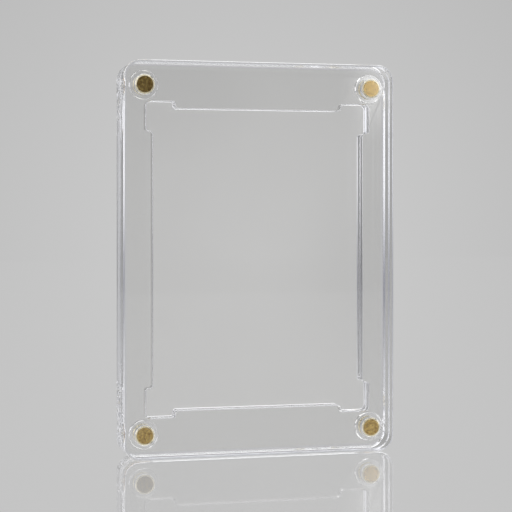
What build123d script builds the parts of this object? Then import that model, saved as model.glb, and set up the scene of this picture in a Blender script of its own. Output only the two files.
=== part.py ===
from build123d import *
import os

# Trading card display case: two thick clear acrylic panels that close face to face around one card.
# Each panel has half of the card recess, and near each corner it holds a disc magnet in a bore made
# from the mating side. A clear cap disc, seated just below the mating face, closes the bore.
#
# Frame: X across the case, Y through its thickness (the front looks towards -Y), Z up.
# The origin is the middle of the base, in the plane where the two panels meet.

# ---- driving dimensions, mm ----
case_width = 83.0
case_height = 117.5
panel_thickness = 7.4
corner_radius = 5.0
outer_edge_radius = 0.8
mating_edge_bevel = 0.25

card_width = 63.5
card_height = 88.9
card_side_clearance = 0.75
card_end_clearance = 0.4
recess_depth = 2.6

relief_size = 9.1
relief_overhang = 2.1
relief_corner_radius = 1.6
relief_step_radius = 0.9

magnet_diameter = 6.0
magnet_height = 3.0
magnet_bevel = 0.5
magnet_side_inset = 6.6
magnet_end_inset = 7.1
magnet_clearance = 0.05

cap_diameter = 8.6
cap_height = 1.0
cap_clearance = 0.05


def recess_outline():
    """Half recess seen from the front: the card's rectangle, with a square relief at each corner
    so that nothing touches the card's own corners."""
    half_width = card_width / 2 + card_side_clearance
    half_height = card_height / 2 + card_end_clearance
    outer_x = half_width + relief_overhang
    outer_z = half_height + relief_overhang
    step_x = outer_x - relief_size
    step_z = outer_z - relief_size
    corner = [
        (half_width, step_z, relief_step_radius),
        (outer_x, step_z, relief_step_radius),
        (outer_x, outer_z, relief_corner_radius),
        (step_x, outer_z, relief_step_radius),
        (step_x, half_height, relief_step_radius),
    ]
    # The corners follow each other round the outline, so every second one is walked backwards.
    walk = []
    for side, end in ((1, 1), (-1, 1), (-1, -1), (1, -1)):
        turned = [(side * x, end * z, radius) for x, z, radius in corner]
        walk += turned if side == end else reversed(turned)
    points = [(x, z) for x, z, radius in walk]
    radii = [radius for x, z, radius in walk]
    return make_face(FilletPolyline(*points, radius=radii, close=True))


def magnet_places():
    """Name and place, across and up, of the magnet at each corner of the case."""
    across = case_width / 2 - magnet_side_inset
    top = case_height - magnet_end_inset
    bottom = magnet_end_inset
    return {
        "top_left": (-across, top),
        "top_right": (across, top),
        "bottom_left": (-across, bottom),
        "bottom_right": (across, bottom),
    }


def disc(place, diameter, start, end):
    """Round bar through the thickness, between two distances in front of the mating plane."""
    across, up = place
    outline = Plane.XZ.offset(start) * Pos(across, up) * Circle(diameter / 2)
    return extrude(outline, end - start)


def front_panel():
    """Front panel, with its outer face forward and its mating face on the mating plane."""
    centre = Plane.XZ * Pos(0, case_height / 2)
    panel = extrude(centre * RectangleRounded(case_width, case_height, corner_radius), panel_thickness)
    panel = fillet(panel.faces().sort_by(Axis.Y)[0].edges(), outer_edge_radius)
    panel = chamfer(panel.faces().sort_by(Axis.Y)[-1].edges(), mating_edge_bevel)

    panel -= extrude(centre * recess_outline(), recess_depth)

    seat_depth = cap_height + 2 * cap_clearance
    bore_depth = seat_depth + magnet_height + magnet_clearance
    for place in magnet_places().values():
        panel -= disc(place, cap_diameter + 2 * cap_clearance, 0, seat_depth)
        panel -= disc(place, magnet_diameter + 2 * magnet_clearance, 0, bore_depth)
    return panel


def magnet(place):
    """Plated disc magnet, resting on the cap side of its bore with its rims broken."""
    start = cap_height + 2 * cap_clearance
    body = disc(place, magnet_diameter, start, start + magnet_height)
    return chamfer(body.edges().filter_by(GeomType.CIRCLE), magnet_bevel)


def cap(place):
    """Clear disc in the wide mouth of the bore, a little below the mating face so the panels close."""
    return disc(place, cap_diameter, cap_clearance, cap_clearance + cap_height)


os.makedirs("parts", exist_ok=True)

# ---- the two halves: the back one is the front one turned over on the mating plane ----
front_half = {"panel": front_panel()}
for corner, place in magnet_places().items():
    front_half["magnet_" + corner] = magnet(place)
    front_half["cap_" + corner] = cap(place)

for piece, solid in front_half.items():
    export_step(solid, f"parts/front_{piece}.step")
    export_step(mirror(solid, about=Plane.XZ), f"parts/back_{piece}.step")
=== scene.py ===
import math

import bmesh
import bpy
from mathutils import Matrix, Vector


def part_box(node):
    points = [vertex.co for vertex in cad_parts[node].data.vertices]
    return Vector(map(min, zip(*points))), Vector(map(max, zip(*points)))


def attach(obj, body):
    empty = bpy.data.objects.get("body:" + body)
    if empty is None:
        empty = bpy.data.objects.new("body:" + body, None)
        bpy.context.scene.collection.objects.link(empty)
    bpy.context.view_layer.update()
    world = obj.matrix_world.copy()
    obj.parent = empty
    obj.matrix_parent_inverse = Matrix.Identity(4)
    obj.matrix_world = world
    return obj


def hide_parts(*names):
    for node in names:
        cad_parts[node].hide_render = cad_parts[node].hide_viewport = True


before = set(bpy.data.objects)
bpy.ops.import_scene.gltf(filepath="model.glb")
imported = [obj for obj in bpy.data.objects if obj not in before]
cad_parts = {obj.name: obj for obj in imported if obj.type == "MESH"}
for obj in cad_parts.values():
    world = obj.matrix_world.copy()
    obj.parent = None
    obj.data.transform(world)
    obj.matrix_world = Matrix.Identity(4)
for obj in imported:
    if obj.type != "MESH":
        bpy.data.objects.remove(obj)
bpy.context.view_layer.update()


# ---- Panels -------------------------------------------------------------------------------------
# The two halves of the case, each routed from thick cast acrylic: a shallow pocket for half of the
# card, with square reliefs at its corners, and four blind bores for the magnets. The outer edge is
# rounded over and polished; the lands round the pocket, where the halves meet, are only buffed.

panel_low, panel_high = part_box("front_panel")
case_width = panel_high.x - panel_low.x
case_height = panel_high.z - panel_low.z
panel_thickness = panel_high.y - panel_low.y

case_corner_radius = 0.005
outer_edge_radius = 0.0008
mating_edge_radius = 0.00025
air_gap = 0.00001

pocket_half_width = 0.0325
pocket_half_height = 0.04485
pocket_depth = 0.0026
pocket_rim_radius = 0.00012
pocket_floor_radius = 0.00025
relief_size = 0.0091
relief_overhang = 0.0021
relief_corner_radius = 0.0016
relief_step_radius = 0.0009

seat_radius = 0.00435
seat_depth = 0.0011
bore_radius = 0.00305
bore_depth = 0.00415
bore_rim_radius = 0.0001
bore_corner_radius = 0.0002

# How many steps each round and circle is drawn in.
case_corner_steps = 24
outer_edge_steps = 14
mating_edge_steps = 5
pocket_corner_steps = 8
pocket_rim_steps = 3
pocket_floor_steps = 6
circle_steps = 96
bore_rim_steps = 3
bore_corner_steps = 4
sharpest_smooth_edge = math.radians(35)

corner_names = ["top_left", "top_right", "bottom_left", "bottom_right"]


def corner_places(half):
    """Across and up, the middle of each magnet in one half of the case."""
    places = []
    for corner in corner_names:
        low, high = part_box(f"{half}_magnet_{corner}")
        places.append(((low.x + high.x) / 2, (low.z + high.z) / 2))
    return places


def case_outline():
    """Corners of the case, anticlockwise, each with the radius it is rounded to."""
    half = case_width / 2
    return [
        (-half, 0.0, case_corner_radius),
        (half, 0.0, case_corner_radius),
        (half, case_height, case_corner_radius),
        (-half, case_height, case_corner_radius),
    ]


def pocket_outline():
    """Corners of the card's pocket, anticlockwise, with a square relief at each of its corners."""
    outer_x = pocket_half_width + relief_overhang
    outer_z = pocket_half_height + relief_overhang
    step_x = outer_x - relief_size
    step_z = outer_z - relief_size
    relief = [
        (pocket_half_width, step_z, relief_step_radius),
        (outer_x, step_z, relief_step_radius),
        (outer_x, outer_z, relief_corner_radius),
        (step_x, outer_z, relief_step_radius),
        (step_x, pocket_half_height, relief_step_radius),
    ]
    corners = []
    for side, end in ((1, 1), (-1, 1), (-1, -1), (1, -1)):
        turned = [(side * x, case_height / 2 + end * z, radius) for x, z, radius in relief]
        corners += turned if side == end else turned[::-1]
    return corners


def rounded_line(corners, grow, steps):
    """Closed line round these corners, moved outwards by grow, with each corner an arc of steps."""
    line = []
    for before, here, after in zip(corners[-1:] + corners[:-1], corners, corners[1:] + corners[:1]):
        corner = Vector(here[:2])
        arrive = (corner - Vector(before[:2])).normalized()
        leave = (Vector(after[:2]) - corner).normalized()
        turn = arrive.cross(leave)
        outwards = Vector((arrive.y + leave.y, -arrive.x - leave.x))
        radius = here[2] + grow * turn
        centre = corner + outwards * grow + (leave - arrive) * radius
        for step in range(steps + 1):
            angle = math.pi / 2 * step / steps
            line.append(centre + (arrive * math.sin(angle) - leave * math.cos(angle)) * radius)
    return line


def circle_line(middle, radius, steps):
    """Closed circle, anticlockwise."""
    angles = [2 * math.pi * step / steps for step in range(steps)]
    return [Vector(middle) + Vector((math.cos(a), math.sin(a))) * radius for a in angles]


def quarter_round(radius, steps):
    """Across and along shares of a quarter round, from the start of the round to its end."""
    angles = [math.pi / 2 * step / steps for step in range(steps + 1)]
    return [(radius * (1 - math.cos(a)), radius * (1 - math.sin(a))) for a in angles]


def cut_panel(half, facing):
    """Mesh of one half. Depths run from the mating plane to the outer face, which looks along facing."""
    solid = bmesh.new()
    rubbed = solid.verts.layers.float.new("rubbed")
    polished, edge, routed, land, seat = range(5)

    def ring(line, depth):
        """Corners along a closed line, all at one depth."""
        return [solid.verts.new((point.x, facing * (air_gap + depth), point.y)) for point in line]

    def wall(rings, finish):
        """Smooth wall from each ring to the next."""
        for near, far in zip(rings[:-1], rings[1:]):
            for i in range(len(near)):
                quad = (near[i - 1], near[i], far[i], far[i - 1])
                face = solid.faces.new(quad)
                face.material_index = finish
                face.smooth = True

    def flat(rings, finish):
        """Flat face that these rings bound, with holes where they lie inside each other."""
        sides = [solid.edges.get((loop[i - 1], loop[i])) for loop in rings for i in range(len(loop))]
        filled = bmesh.ops.triangle_fill(solid, edges=sides, use_beauty=True)
        for face in filled["geom"]:
            if isinstance(face, bmesh.types.BMFace):
                face.material_index = finish
                face.smooth = False

    outline = case_outline()
    outer_round = [
        ring(rounded_line(outline, -across, case_corner_steps), panel_thickness - air_gap - along)
        for along, across in quarter_round(outer_edge_radius, outer_edge_steps)
    ]
    mating_round = [
        ring(rounded_line(outline, -across, case_corner_steps), along)
        for across, along in quarter_round(mating_edge_radius, mating_edge_steps)
    ]
    for step, loop in enumerate(outer_round):
        for corner in loop:
            corner[rubbed] = math.sin(math.pi * step / outer_edge_steps)
    wall(outer_round, edge)
    wall([outer_round[-1], mating_round[0]], edge)
    wall(mating_round, edge)
    flat([outer_round[0]], polished)

    pocket = pocket_outline()
    rim = [
        ring(rounded_line(pocket, along, pocket_corner_steps), across)
        for along, across in quarter_round(pocket_rim_radius, pocket_rim_steps)
    ]
    floor_round = [
        ring(rounded_line(pocket, -across, pocket_corner_steps), pocket_depth - along)
        for across, along in quarter_round(pocket_floor_radius, pocket_floor_steps)
    ]
    wall(rim, routed)
    wall([rim[-1], floor_round[0]], routed)
    wall(floor_round, routed)
    flat([floor_round[-1]], polished)

    mouths = [mating_round[-1], rim[0]]
    for middle in corner_places(half):
        mouth = [
            ring(circle_line(middle, seat_radius + along, circle_steps), across)
            for along, across in quarter_round(bore_rim_radius, bore_rim_steps)
        ]
        seat_foot = ring(circle_line(middle, seat_radius, circle_steps), seat_depth)
        bore_mouth = ring(circle_line(middle, bore_radius, circle_steps), seat_depth)
        bore_foot = [
            ring(circle_line(middle, bore_radius - across, circle_steps), bore_depth - along)
            for across, along in quarter_round(bore_corner_radius, bore_corner_steps)
        ]
        wall(mouth + [seat_foot], seat)
        wall([seat_foot, bore_mouth], seat)
        wall([bore_mouth] + bore_foot, seat)
        flat([bore_foot[-1]], polished)
        mouths.append(mouth[0])
    flat(mouths, land)

    bmesh.ops.recalc_face_normals(solid, faces=solid.faces)
    for side in solid.edges:
        if side.calc_face_angle(0.0) > sharpest_smooth_edge:
            side.smooth = False
    mesh = bpy.data.meshes.new(f"{half}_acrylic")
    solid.to_mesh(mesh)
    solid.free()
    return mesh


def feed(tree, value, socket):
    """Set a plain value on a socket, or link the node output that carries it."""
    if isinstance(value, bpy.types.NodeSocket):
        tree.links.new(value, socket)
    else:
        socket.default_value = value


def maths(tree, operation, *values):
    """One sum on plain values or node outputs."""
    step = tree.nodes.new("ShaderNodeMath")
    step.operation = operation
    for value, socket in zip(values, step.inputs):
        feed(tree, value, socket)
    return step.outputs[0]


def spread(tree, value, low, high, start, end, easing="LINEAR"):
    """Goes from start to end while value goes from low to high."""
    change = tree.nodes.new("ShaderNodeMapRange")
    change.interpolation_type = easing
    for label, number in (("From Min", low), ("From Max", high), ("To Min", start), ("To Max", end)):
        change.inputs[label].default_value = number
    tree.links.new(value, change.inputs["Value"])
    return change.outputs[0]


def blend(tree, share, first, second):
    """Colour that goes from the first to the second with share."""
    mix = tree.nodes.new("ShaderNodeMix")
    mix.data_type = "RGBA"
    for value, label in ((share, "Factor"), (first, "A"), (second, "B")):
        feed(tree, value, mix.inputs[label])
    return mix.outputs["Result"]


def mottled(tree, place, scale, detail, roughness=0.5):
    """Uneven value from 0 to 1, with about scale patches to the metre."""
    noise = tree.nodes.new("ShaderNodeTexNoise")
    for label, number in (("Scale", scale), ("Detail", detail), ("Roughness", roughness)):
        noise.inputs[label].default_value = number
    tree.links.new(place, noise.inputs["Vector"])
    return noise.outputs["Fac"]


def marked(tree, height, depth, strength):
    """Bump that presses marks of this depth into a surface."""
    bump = tree.nodes.new("ShaderNodeBump")
    bump.inputs["Distance"].default_value = depth
    bump.inputs["Strength"].default_value = strength
    tree.links.new(height, bump.inputs["Height"])
    return bump


def acrylic(name, tint, clarity, finish, marks, depth, wear):
    """Clear cast acrylic. Finish is its roughness from best to worst, marks the number of tool or
    polishing marks to the metre along each axis and depth how deep they are. Clarity below 1 leaves
    the surface a little milky, and wear is the extra roughness where hands rub it."""
    refractive_index = 1.49
    smears_to_the_metre = 55.0
    smear_range = (0.35, 0.7)
    smear_tint = 0.985

    material = bpy.data.materials.new(name)
    material.use_nodes = True
    tree = material.node_tree
    link = tree.links.new
    shader = tree.nodes["Principled BSDF"]
    shader.inputs["IOR"].default_value = refractive_index
    shader.inputs["Transmission Weight"].default_value = clarity

    place = tree.nodes.new("ShaderNodeTexCoord").outputs["Object"]
    stretch = tree.nodes.new("ShaderNodeVectorMath")
    stretch.operation = "MULTIPLY"
    stretch.inputs[1].default_value = marks
    link(place, stretch.inputs[0])
    grain = mottled(tree, stretch.outputs[0], scale=1.0, detail=3.0)
    smears = mottled(tree, place, scale=smears_to_the_metre, detail=2.0)

    rubbed = tree.nodes.new("ShaderNodeAttribute")
    rubbed.attribute_name = "rubbed"
    scuffs = maths(tree, "MULTIPLY", rubbed.outputs["Fac"], grain)
    dulled = spread(tree, smears, *smear_range, *finish)
    link(maths(tree, "MULTIPLY_ADD", scuffs, wear, dulled), shader.inputs["Roughness"])

    smeared = [smear_tint * part for part in tint]
    link(blend(tree, smears, (*tint, 1.0), (*smeared, 1.0)), shader.inputs["Base Color"])
    link(marked(tree, grain, depth, strength=1.0).outputs[0], shader.inputs["Normal"])
    return material


acrylic_finishes = [
    acrylic(
        "polished acrylic",
        tint=(0.994, 0.993, 0.99),
        clarity=1.0,
        finish=(0.0, 0.012),
        marks=(350, 350, 350),
        depth=4e-7,
        wear=0.0,
    ),
    acrylic(
        "polished acrylic edge",
        tint=(0.93, 0.94, 0.99),
        clarity=1.0,
        finish=(0.0, 0.01),
        marks=(220, 900, 220),
        depth=3e-7,
        wear=0.01,
    ),
    acrylic(
        "routed acrylic wall",
        tint=(0.94, 0.945, 0.97),
        clarity=0.95,
        finish=(0.06, 0.10),
        marks=(90, 6000, 90),
        depth=2e-6,
        wear=0.0,
    ),
    acrylic(
        "buffed acrylic land",
        tint=(0.94, 0.94, 0.936),
        clarity=1.0,
        finish=(0.01, 0.03),
        marks=(500, 500, 500),
        depth=4e-7,
        wear=0.0,
    ),
    acrylic(
        "cemented acrylic seat",
        tint=(1.0, 1.0, 1.0),
        clarity=1.0,
        finish=(0.02, 0.05),
        marks=(900, 900, 900),
        depth=1e-6,
        wear=0.0,
    ),
]

for half, facing in (("front", -1), ("back", 1)):
    panel = bpy.data.objects.new(f"{half}_acrylic_panel", cut_panel(half, facing))
    bpy.context.scene.collection.objects.link(panel)
    for finish in acrylic_finishes:
        panel.data.materials.append(finish)
    true_flats = panel.modifiers.new("true_flats", "WEIGHTED_NORMAL")
    true_flats.weight = 100
    true_flats.keep_sharp = True
    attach(panel, f"{half}_half")
    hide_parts(f"{half}_panel")


# ---- Magnets ------------------------------------------------------------------------------------
# A gold plated disc magnet in the bore at each corner, with its rims broken by tumbling. The plate
# has a fine satin grain and faint turned rings.

magnet_low, magnet_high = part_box("front_magnet_top_left")
magnet_diameter = magnet_high.x - magnet_low.x
magnet_height = magnet_high.y - magnet_low.y
magnet_rim_bevel = 0.0005


def disc_tree():
    """Geometry Nodes that stand a bevelled disc on each point, and keep its own coordinates in the
    attribute 'turned' so that a finish can follow it."""
    weld_distance = 1e-6
    tree = bpy.data.node_groups.new("bevelled_discs", "GeometryNodeTree")
    sockets = {}
    for label, kind in (
        ("Places", "NodeSocketGeometry"),
        ("Diameter", "NodeSocketFloat"),
        ("Height", "NodeSocketFloat"),
        ("Rim bevel", "NodeSocketFloat"),
        ("Tilt", "NodeSocketFloat"),
        ("Finish", "NodeSocketMaterial"),
    ):
        sockets[label] = tree.interface.new_socket(label, in_out="INPUT", socket_type=kind)
    tree.interface.new_socket("Discs", in_out="OUTPUT", socket_type="NodeSocketGeometry")
    node = tree.nodes.new
    link = tree.links.new
    given = node("NodeGroupInput").outputs

    radius = maths(tree, "MULTIPLY", given["Diameter"], 0.5)
    face_radius = maths(tree, "SUBTRACT", radius, given["Rim bevel"])
    both_bevels = maths(tree, "MULTIPLY", given["Rim bevel"], 2.0)
    side_height = maths(tree, "SUBTRACT", given["Height"], both_bevels)

    # The lower face, then the lower bevel, the side and the upper bevel drawn up from it in turn.
    face = node("GeometryNodeMeshCircle")
    face.fill_type = "NGON"
    face.inputs["Vertices"].default_value = circle_steps
    link(face_radius, face.inputs["Radius"])
    under = node("GeometryNodeFlipFaces")
    link(face.outputs["Mesh"], under.inputs["Mesh"])

    def draw_up(geometry, top, height, scale):
        """Extrude the top by this height, and widen or narrow it by this scale."""
        raised = node("GeometryNodeExtrudeMesh")
        raised.inputs["Individual"].default_value = False
        link(geometry, raised.inputs["Mesh"])
        feed(tree, top, raised.inputs["Selection"])
        link(height, raised.inputs["Offset Scale"])
        widened = node("GeometryNodeScaleElements")
        link(raised.outputs["Mesh"], widened.inputs["Geometry"])
        link(raised.outputs["Top"], widened.inputs["Selection"])
        feed(tree, scale, widened.inputs["Scale"])
        return widened.outputs["Geometry"], raised.outputs["Top"]

    widening = maths(tree, "DIVIDE", radius, face_radius)
    narrowing = maths(tree, "DIVIDE", face_radius, radius)
    wide, top = draw_up(face.outputs["Mesh"], True, given["Rim bevel"], widening)
    tall, top = draw_up(wide, top, side_height, 1.0)
    capped, top = draw_up(tall, top, given["Rim bevel"], narrowing)

    closed = node("GeometryNodeJoinGeometry")
    link(capped, closed.inputs[0])
    link(under.outputs["Mesh"], closed.inputs[0])
    merged = node("GeometryNodeMergeByDistance")
    merged.inputs["Distance"].default_value = weld_distance
    link(closed.outputs[0], merged.inputs["Geometry"])

    own_place = node("GeometryNodeInputPosition")
    kept = node("GeometryNodeStoreNamedAttribute")
    kept.data_type = "FLOAT_VECTOR"
    kept.inputs["Name"].default_value = "turned"
    link(merged.outputs["Geometry"], kept.inputs["Geometry"])
    link(own_place.outputs[0], kept.inputs["Value"])

    lie = node("ShaderNodeCombineXYZ")
    link(given["Tilt"], lie.inputs["X"])
    laid = node("GeometryNodeTransform")
    link(kept.outputs["Geometry"], laid.inputs["Geometry"])
    link(lie.outputs[0], laid.inputs["Rotation"])

    stood = node("GeometryNodeInstanceOnPoints")
    link(given["Places"], stood.inputs["Points"])
    link(laid.outputs["Geometry"], stood.inputs["Instance"])
    real = node("GeometryNodeRealizeInstances")
    link(stood.outputs[0], real.inputs[0])
    finished = node("GeometryNodeSetMaterial")
    link(real.outputs[0], finished.inputs["Geometry"])
    link(given["Finish"], finished.inputs["Material"])
    link(finished.outputs[0], node("NodeGroupOutput").inputs[0])
    return tree, {label: socket.identifier for label, socket in sockets.items()}


disc_nodes, disc_inputs = disc_tree()


def corner_discs(name, half, facing, start, sizes, finish):
    """Discs at the four corners of one half, as one plain mesh on its own object."""
    places = bpy.data.meshes.new(name)
    places.from_pydata([(x, facing * start, z) for x, z in corner_places(half)], [], [])
    discs = bpy.data.objects.new(name, places)
    bpy.context.scene.collection.objects.link(discs)
    maker = discs.modifiers.new("discs", "NODES")
    maker.node_group = disc_nodes
    for label, value in {**sizes, "Tilt": -facing * math.pi / 2, "Finish": finish}.items():
        maker[disc_inputs[label]] = value
    evaluated = discs.evaluated_get(bpy.context.evaluated_depsgraph_get())
    made = bpy.data.meshes.new_from_object(evaluated)
    discs.modifiers.remove(maker)
    discs.data = made
    return discs


def gold_finish():
    """Gold plate: mottled and faintly turned on the face, tumbled to a satin round the rim, where its
    pale cream colour is a painted sheen standing in for the bright reflection along the bevel.
    """
    deep_gold = (0.49, 0.285, 0.062, 1.0)
    bright_gold = (1.0, 0.745, 0.27, 1.0)
    # The rim's pale cream gold is a painted sheen for the bright reflection along the bevel. With the
    # lower metallic there, it also scatters more light.
    painted_sheen_rim_gold = (1.0, 0.92, 0.68, 1.0)
    rim_fade = 0.00012
    face_roughness = (0.12, 0.26)
    rim_roughness = 0.35
    rim_metal = 0.85
    rings_to_the_metre = 2600.0
    mottles_to_the_metre = 1500.0
    tint_range = (0.38, 0.62)
    dull_range = (0.3, 0.7)
    ring_depth = 6e-6
    mottle_depth = 9e-6

    material = bpy.data.materials.new("gold plate")
    material.use_nodes = True
    tree = material.node_tree
    node = tree.nodes.new
    link = tree.links.new
    shader = tree.nodes["Principled BSDF"]

    own_place = node("ShaderNodeAttribute")
    own_place.attribute_name = "turned"
    parts = node("ShaderNodeSeparateXYZ")
    link(own_place.outputs["Vector"], parts.inputs[0])
    flat_place = node("ShaderNodeCombineXYZ")
    link(parts.outputs["X"], flat_place.inputs["X"])
    link(parts.outputs["Y"], flat_place.inputs["Y"])
    from_axis = node("ShaderNodeVectorMath")
    from_axis.operation = "LENGTH"
    link(flat_place.outputs[0], from_axis.inputs[0])
    face_radius = magnet_diameter / 2 - magnet_rim_bevel
    rim = spread(tree, from_axis.outputs["Value"], face_radius - rim_fade, face_radius, 0.0, 1.0)

    ring_place = node("ShaderNodeCombineXYZ")
    link(from_axis.outputs["Value"], ring_place.inputs["X"])
    rings = mottled(tree, ring_place.outputs[0], rings_to_the_metre, detail=2.0)
    place = node("ShaderNodeTexCoord").outputs["Object"]
    mottle = mottled(tree, place, mottles_to_the_metre, detail=5.0, roughness=0.65)

    plate = blend(tree, spread(tree, mottle, *tint_range, 0.0, 1.0), deep_gold, bright_gold)
    # The rim takes the painted sheen colour over the plate.
    link(blend(tree, rim, plate, painted_sheen_rim_gold), shader.inputs["Base Color"])
    link(spread(tree, rim, 0.0, 1.0, 1.0, rim_metal), shader.inputs["Metallic"])

    roughness = node("ShaderNodeMix")
    link(rim, roughness.inputs["Factor"])
    link(spread(tree, mottle, *dull_range, *face_roughness), roughness.inputs["A"])
    roughness.inputs["B"].default_value = rim_roughness
    link(roughness.outputs[0], shader.inputs["Roughness"])

    turning = marked(tree, rings, ring_depth, strength=0.6)
    grain = marked(tree, mottle, mottle_depth, strength=1.0)
    link(turning.outputs[0], grain.inputs["Normal"])
    link(grain.outputs[0], shader.inputs["Normal"])
    return material


gold_plate = gold_finish()
magnet_start = -magnet_high.y
for half, facing in (("front", -1), ("back", 1)):
    sizes = {"Diameter": magnet_diameter, "Height": magnet_height, "Rim bevel": magnet_rim_bevel}
    magnets = corner_discs(f"{half}_magnets", half, facing, magnet_start, sizes, gold_plate)
    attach(magnets, f"{half}_half")
    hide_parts(*[f"{half}_magnet_{corner}" for corner in corner_names])


# ---- Caps ---------------------------------------------------------------------------------------
# A clear disc, laser cut from thin acrylic sheet and cemented into the mouth of each bore, a little
# below the land so that the halves still close.

cap_low, cap_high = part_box("front_cap_top_left")
cap_diameter = cap_high.x - cap_low.x
cap_height = cap_high.y - cap_low.y
cap_rim_bevel = 0.00008
cap_start = -cap_high.y

cap_acrylic = acrylic(
    "cemented acrylic cap",
    tint=(1.0, 1.0, 1.0),
    clarity=1.0,
    finish=(0.02, 0.05),
    marks=(900, 900, 900),
    depth=1e-6,
    wear=0.0,
)
for half, facing in (("front", -1), ("back", 1)):
    sizes = {"Diameter": cap_diameter, "Height": cap_height, "Rim bevel": cap_rim_bevel}
    caps = corner_discs(f"{half}_caps", half, facing, cap_start, sizes, cap_acrylic)
    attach(caps, f"{half}_half")
    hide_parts(*[f"{half}_cap_{corner}" for corner in corner_names])


# ---- Table, ground and wall ---------------------------------------------------------------------
# The case stands on a clear glossy table, over pale ground half a metre down, with a pale wall
# behind. A pool of light on the ground behind the case shines up through the table into the rounds
# of the top edge.

scene = bpy.context.scene
scene.view_settings.view_transform = "Standard"
most_bounces = 40
scene.cycles.max_bounces = most_bounces
scene.cycles.transmission_bounces = most_bounces
scene.cycles.glossy_bounces = most_bounces

stage_gap = 0.00005
table_half = 2.0
wall_distance = 1.6
wall_height = 2.0
ground_depth = 0.5
ground_half = 6.0


def stage_sheet(name, corner, along, rise, material):
    """Flat sheet of the stage, from one corner along one side and up the other."""
    corner, along, rise = Vector(corner), Vector(along), Vector(rise)
    mesh = bpy.data.meshes.new(name)
    mesh.from_pydata([corner, corner + along, corner + along + rise, corner + rise], [], [(0, 1, 2, 3)])
    mesh.materials.append(material)
    sheet = bpy.data.objects.new(name, mesh)
    scene.collection.objects.link(sheet)
    return sheet


def glowing_paint(name):
    """Paint that looks evenly lit from all round, with its node tree and the colour socket to feed."""
    material = bpy.data.materials.new(name)
    material.use_nodes = True
    tree = material.node_tree
    tree.nodes.remove(tree.nodes["Principled BSDF"])
    glow = tree.nodes.new("ShaderNodeEmission")
    tree.links.new(glow.outputs[0], tree.nodes["Material Output"].inputs["Surface"])
    return material, tree, glow.inputs["Color"]


def grey(tone):
    """Colour of one even tone."""
    return (tone, tone, tone, 1.0)


def light_pool(tree, centre, near, far, inside, outside, easing="SMOOTHSTEP"):
    """Round pool of light, which fades from its inside tone to the outside one from near to far."""
    place = tree.nodes.new("ShaderNodeTexCoord")
    away = tree.nodes.new("ShaderNodeVectorMath")
    away.operation = "DISTANCE"
    away.inputs[1].default_value = centre
    tree.links.new(place.outputs["Object"], away.inputs[0])
    return spread(tree, away.outputs["Value"], near, far, inside, outside, easing)


# Ground, with the wall's foot in the same paint.
ground_tone = 0.575
ground_paint, ground_tree, ground_colour = glowing_paint("pale ground")
under_case = light_pool(
    ground_tree,
    centre=(0.0, 0.0, -ground_depth),
    near=0.7,
    far=1.5,
    inside=0.71,
    outside=ground_tone,
)
behind_case = light_pool(
    ground_tree,
    centre=(0.17, 0.72, -ground_depth),
    near=0.3,
    far=0.72,
    inside=1.6,
    outside=ground_tone,
)
feed(ground_tree, maths(ground_tree, "MAXIMUM", under_case, behind_case), ground_colour)
stage_sheet(
    "ground",
    corner=(-ground_half, -ground_half, -ground_depth),
    along=(2 * ground_half, 0.0, 0.0),
    rise=(0.0, ground_half + wall_distance, 0.0),
    material=ground_paint,
)
stage_sheet(
    "wall_foot",
    corner=(-ground_half, wall_distance, -ground_depth),
    along=(2 * ground_half, 0.0, 0.0),
    rise=(0.0, 0.0, ground_depth - stage_gap),
    material=ground_paint,
)

# Table: a clear sheet whose gloss grows towards a grazing view.
table_index = 1.49
table_roughness = 0.03
clear_table = bpy.data.materials.new("clear table")
clear_table.use_nodes = True
table_tree = clear_table.node_tree
table_tree.nodes.remove(table_tree.nodes["Principled BSDF"])
table_clear = table_tree.nodes.new("ShaderNodeBsdfTransparent")
table_gloss = table_tree.nodes.new("ShaderNodeBsdfGlossy")
table_gloss.inputs["Color"].default_value = grey(1.0)
table_gloss.inputs["Roughness"].default_value = table_roughness
table_sheen = table_tree.nodes.new("ShaderNodeFresnel")
table_sheen.inputs["IOR"].default_value = table_index
table_mix = table_tree.nodes.new("ShaderNodeMixShader")
for part, socket in zip((table_sheen, table_clear, table_gloss), table_mix.inputs):
    feed(table_tree, part.outputs[0], socket)
feed(table_tree, table_mix.outputs[0], table_tree.nodes["Material Output"].inputs["Surface"])
stage_sheet(
    "table",
    corner=(-table_half, -table_half, -stage_gap),
    along=(2 * table_half, 0.0, 0.0),
    rise=(0.0, table_half + wall_distance, 0.0),
    material=clear_table,
)

# Wall: a little brighter in a wide pool to the right of the case.
wall_paint, wall_tree, wall_colour = glowing_paint("pale wall")
wall_pool = light_pool(
    wall_tree,
    centre=(0.40, wall_distance, 0.0),
    near=0.0,
    far=1.0,
    inside=0.615,
    outside=0.41,
    easing="LINEAR",
)
feed(wall_tree, wall_pool, wall_colour)
stage_sheet(
    "backdrop",
    corner=(-table_half, wall_distance, -stage_gap),
    along=(2 * table_half, 0.0, 0.0),
    rise=(0.0, 0.0, wall_height + stage_gap),
    material=wall_paint,
)


# ---- Light --------------------------------------------------------------------------------------
# A soft box overhead and even light from the room. Four lit cards stand round the case, out of the
# picture: one at each side, one high behind, and a dim one in front whose bright spot the upper
# right magnet reflects.

room_tone = 0.545
world = bpy.data.worlds.new("studio")
world.use_nodes = True
world.node_tree.nodes["Background"].inputs["Color"].default_value = grey(room_tone)
scene.world = world

top_light = bpy.data.lights.new("top_box", "AREA")
top_light.shape = "RECTANGLE"
top_light.size = 3.0
top_light.size_y = 1.6
top_light.energy = 4.0
top_box = bpy.data.objects.new("top_box", top_light)
top_box.location = (0.0, -0.2, 1.2)
scene.collection.objects.link(top_box)


def light_card(name, corner, along, rise, paint):
    """Lit card that the camera doesn't see itself."""
    stage_sheet(name, corner, along, rise, paint).visible_camera = False


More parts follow.
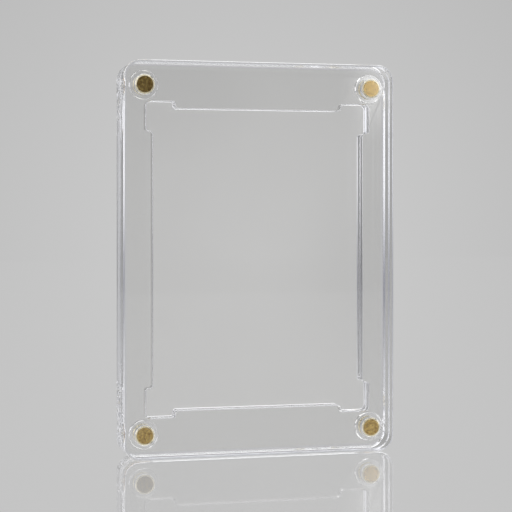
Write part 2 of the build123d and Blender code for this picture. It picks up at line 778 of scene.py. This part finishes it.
# The side cards are bright above and fade to a bluish grey near the table.
side_distance = 0.6
side_foot = (0.32, 0.325, 0.37, 1.0)
side_top = (1.25, 1.25, 1.28, 1.0)
side_fade_height = 0.115
side_paint, side_tree, side_colour = glowing_paint("side card")
side_place = side_tree.nodes.new("ShaderNodeTexCoord")
side_parts = side_tree.nodes.new("ShaderNodeSeparateXYZ")
feed(side_tree, side_place.outputs["Object"], side_parts.inputs[0])
side_rise = spread(side_tree, side_parts.outputs["Z"], 0.0, side_fade_height, 0.0, 1.0, "SMOOTHSTEP")
feed(side_tree, blend(side_tree, side_rise, side_foot, side_top), side_colour)
for name, across in (("left_card", -side_distance), ("right_card", side_distance)):
    light_card(
        name,
        corner=(across, -0.5, 0.0),
        along=(0.0, 1.5, 0.0),
        rise=(0.0, 0.0, 1.0),
        paint=side_paint,
    )

# The back card hangs over the wall's side of the table and leans forward.
back_tone = 1.9
back_paint, back_tree, back_colour = glowing_paint("back card")
feed(back_tree, grey(back_tone), back_colour)
light_card(
    "back_card",
    corner=(-1.2, 1.4, 0.85),
    along=(2.4, 0.0, 0.0),
    rise=(0.0, -0.8, 0.34),
    paint=back_paint,
)

# The front card is what the magnets reflect: two of its spots are darker than the rest, one bright.
front_distance = 0.8
front_tone = grey(0.23)
front_spots = [
    {"across": 0.34, "up": 0.02, "near": 0.04, "far": 0.12, "tone": 0.04},
    {"across": 0.12, "up": 0.19, "near": 0.03, "far": 0.1, "tone": 0.08},
    {"across": 0.34, "up": 0.19, "near": 0.015, "far": 0.067, "tone": 2.8},
]
front_paint, front_tree, front_colour = glowing_paint("front card")
for spot in front_spots:
    centre = (spot["across"], -front_distance, spot["up"])
    share = light_pool(front_tree, centre, spot["near"], spot["far"], inside=1.0, outside=0.0)
    front_tone = blend(front_tree, share, front_tone, grey(spot["tone"]))
feed(front_tree, front_tone, front_colour)
light_card(
    "front_card",
    corner=(-0.8, -front_distance, 0.0),
    along=(1.6, 0.0, 0.0),
    rise=(0.0, 0.0, 1.0),
    paint=front_paint,
)


# ---- Camera -------------------------------------------------------------------------------------
# It stands a little left of the case, looks level past the middle of it, and is shifted down so
# that the uprights stay upright.

camera_azimuth = math.radians(14.05)
camera_across = -0.1075
camera_back = 0.4221
camera_height = 0.0743
picture_size = 512
focal_length_in_pixels = 1461.9
horizon_row = 207

camera_data = bpy.data.cameras.new("camera")
camera_data.sensor_width = 36.0
camera_data.lens = camera_data.sensor_width * focal_length_in_pixels / picture_size
camera_data.shift_y = (horizon_row - picture_size / 2) / picture_size
camera_data.clip_start = 0.01
camera = bpy.data.objects.new("camera", camera_data)
camera.location = (camera_across, -panel_thickness - camera_back, camera_height)
camera.rotation_euler = (math.pi / 2, 0.0, -camera_azimuth)
scene.collection.objects.link(camera)
scene.camera = camera
